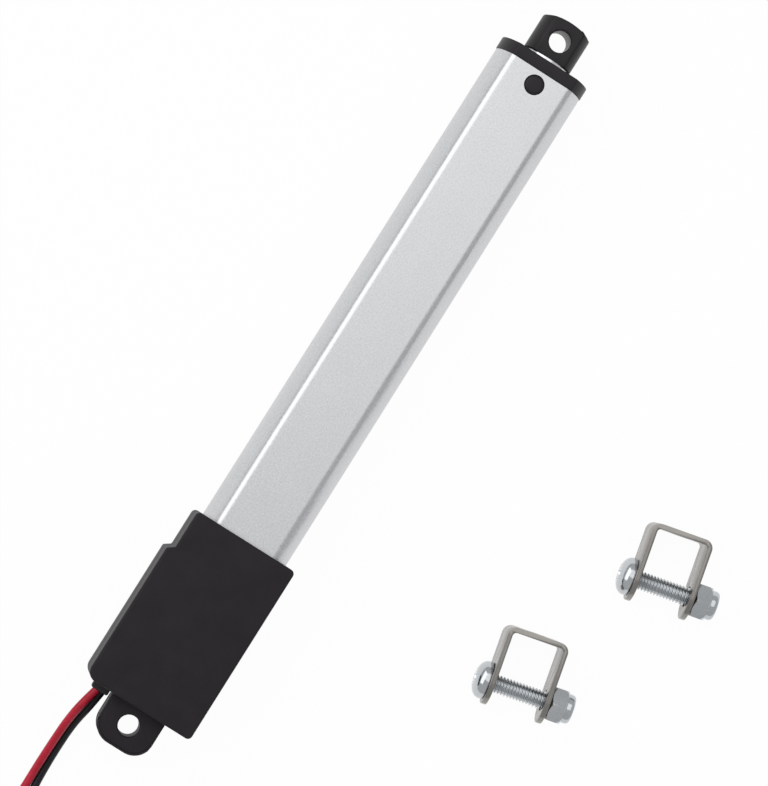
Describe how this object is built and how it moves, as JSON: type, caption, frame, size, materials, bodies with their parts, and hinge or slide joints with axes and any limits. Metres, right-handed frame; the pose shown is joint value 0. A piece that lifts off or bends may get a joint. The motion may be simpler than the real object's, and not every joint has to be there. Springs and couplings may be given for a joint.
{
  "type": "electric linear actuator",
  "caption": "Small in-line electric linear actuator with a black housing, a flat-sided aluminium tube, eye mounts, bare wire leads and two fork bracket sets.",
  "frame": {"origin": "centre of the rear eye's bore, halfway through the eye", "axes": "+X along the actuator to the rod end, +Z out of the plain front face along the eye bores, +Y to the side of the cable outlet"},
  "size_m": [0.2269, 0.1044, 0.018],
  "materials": {
    "housing_nylon": "moulded black nylon",
    "cap_nylon": "moulded black nylon, slightly glossier",
    "rod_end_nylon": "moulded black nylon",
    "black_rubber": "moulded rubber",
    "anodised_tube": "blasted and clear anodised",
    "rod_aluminium": "drawn and polished",
    "nickel_steel": "nickel plated can",
    "gear_steel": "sintered steel",
    "bearing_steel": "ground",
    "screw_steel": "rolled thread, bright",
    "stainless_sheet": "pressed stainless sheet",
    "zinc_steel": "bright zinc plated",
    "brass": "turned",
    "bronze": "sintered, oiled",
    "white_acetal": "moulded",
    "board_laminate": "glass epoxy laminate",
    "switch_plastic": "moulded",
    "red_pvc": "extruded PVC insulation",
    "black_pvc": "extruded PVC insulation"
  },
  "bodies": {
    "housing": {"front_shell": "housing_nylon", "back_shell": "housing_nylon", "housing_screws": "zinc_steel", "cable_grommet": "black_rubber", "outer_tube": "anodised_tube", "front_cap": "cap_nylon", "rod_bush": "bronze", "rod_seal": "black_rubber", "motor_can": "nickel_steel", "motor_end_cap": "cap_nylon", "motor_terminals": "brass", "ring_gear": "gear_steel", "gearbox_plate": "gear_steel", "gearbox_cover": "gear_steel", "bearing_block": "cap_nylon", "bearing_outer_ring": "bearing_steel", "bearing_balls": "bearing_steel", "switch_board": "board_laminate", "rear_limit_switch": "switch_plastic", "front_limit_switch": "switch_plastic", "switch_diodes": "switch_plastic", "red_inner_lead": "red_pvc", "black_inner_lead": "black_pvc", "red_wire": "red_pvc", "black_wire": "black_pvc", "red_wire_coil": "red_pvc", "black_wire_coil": "black_pvc"},
    "screw": {"lead_screw": "screw_steel", "bearing_inner_ring": "bearing_steel", "retaining_ring": "bearing_steel", "carrier_2": "gear_steel", "screw_tip_bush": "white_acetal"},
    "rod": {"inner_rod": "rod_aluminium", "rod_end": "rod_end_nylon", "lead_nut": "brass", "nut_slider": "white_acetal"},
    "first_carrier": {"carrier_1": "gear_steel", "sun_gear_2": "gear_steel"},
    "motor_rotor": {"motor_shaft": "bearing_steel", "sun_gear_1": "brass"},
    "rear_switch_plunger": {"rear_plunger": "white_acetal"},
    "front_switch_plunger": {"front_plunger": "white_acetal"},
    "bracket_set_1": {"bracket_1": "stainless_sheet", "bracket_bolt_1": "zinc_steel", "bracket_nut_1": "zinc_steel"},
    "bracket_set_2": {"bracket_2": "stainless_sheet", "bracket_bolt_2": "zinc_steel", "bracket_nut_2": "zinc_steel"},
    "planet_1a_gear": {"planet_1a": "gear_steel"},
    "planet_1b_gear": {"planet_1b": "gear_steel"},
    "planet_1c_gear": {"planet_1c": "gear_steel"},
    "planet_2a_gear": {"planet_2a": "gear_steel"},
    "planet_2b_gear": {"planet_2b": "gear_steel"},
    "planet_2c_gear": {"planet_2c": "gear_steel"}
  },
  "joints": [
    {"name": "rod_slide", "type": "slide", "parent": "housing", "child": "rod", "axis": [1, 0, 0], "range_m": [0, 0.1]},
    {"name": "screw_turn", "type": "hinge", "parent": "housing", "child": "screw", "pos_m": [0.04, 0, 0], "axis": [-1, 0, 0], "range_deg": [0, 12000]},
    {"name": "first_carrier_turn", "type": "hinge", "parent": "housing", "child": "first_carrier", "pos_m": [0.029, 0, 0], "axis": [-1, 0, 0], "range_deg": [0, 48000]},
    {"name": "motor_turn", "type": "hinge", "parent": "housing", "child": "motor_rotor", "pos_m": [0.02, 0, 0], "axis": [-1, 0, 0], "range_deg": [0, 192000]},
    {"name": "planet_1a_spin", "type": "hinge", "parent": "first_carrier", "child": "planet_1a_gear", "pos_m": [0.0268, 0.004, 0], "axis": [-1, 0, 0], "range_deg": [-144000, 0]},
    {"name": "planet_1b_spin", "type": "hinge", "parent": "first_carrier", "child": "planet_1b_gear", "pos_m": [0.0268, -0.002, 0.00346], "axis": [-1, 0, 0], "range_deg": [-144000, 0]},
    {"name": "planet_1c_spin", "type": "hinge", "parent": "first_carrier", "child": "planet_1c_gear", "pos_m": [0.0268, -0.002, -0.00346], "axis": [-1, 0, 0], "range_deg": [-144000, 0]},
    {"name": "planet_2a_spin", "type": "hinge", "parent": "screw", "child": "planet_2a_gear", "pos_m": [0.0316, 0.004, 0], "axis": [-1, 0, 0], "range_deg": [-36000, 0]},
    {"name": "planet_2b_spin", "type": "hinge", "parent": "screw", "child": "planet_2b_gear", "pos_m": [0.0316, -0.002, 0.00346], "axis": [-1, 0, 0], "range_deg": [-36000, 0]},
    {"name": "planet_2c_spin", "type": "hinge", "parent": "screw", "child": "planet_2c_gear", "pos_m": [0.0316, -0.002, -0.00346], "axis": [-1, 0, 0], "range_deg": [-36000, 0]},
    {"name": "rear_plunger_press", "type": "slide", "parent": "housing", "child": "rear_switch_plunger", "axis": [0, 1, 0], "range_m": [0, 0.0003], "stiffness_N_per_m": 60},
    {"name": "front_plunger_press", "type": "slide", "parent": "housing", "child": "front_switch_plunger", "axis": [0, 1, 0], "range_m": [0, 0.0003], "stiffness_N_per_m": 60},
    {"name": "bracket_1_lift", "type": "slide", "parent": "housing", "child": "bracket_set_1", "axis": [0, 0, 1], "range_m": [0, 0.03]},
    {"name": "bracket_2_lift", "type": "slide", "parent": "housing", "child": "bracket_set_2", "axis": [0, 0, 1], "range_m": [0, 0.03]}
  ],
  "couplings": [
    {"joint": "screw_turn", "follows": "rod_slide", "rad_per_m": 2094.4},
    {"joint": "first_carrier_turn", "follows": "rod_slide", "rad_per_m": 8377.6},
    {"joint": "motor_turn", "follows": "rod_slide", "rad_per_m": 33510},
    {"joint": "planet_1a_spin", "follows": "rod_slide", "rad_per_m": -25133},
    {"joint": "planet_1b_spin", "follows": "rod_slide", "rad_per_m": -25133},
    {"joint": "planet_1c_spin", "follows": "rod_slide", "rad_per_m": -25133},
    {"joint": "planet_2a_spin", "follows": "rod_slide", "rad_per_m": -6283.2},
    {"joint": "planet_2b_spin", "follows": "rod_slide", "rad_per_m": -6283.2},
    {"joint": "planet_2c_spin", "follows": "rod_slide", "rad_per_m": -6283.2}
  ]
}
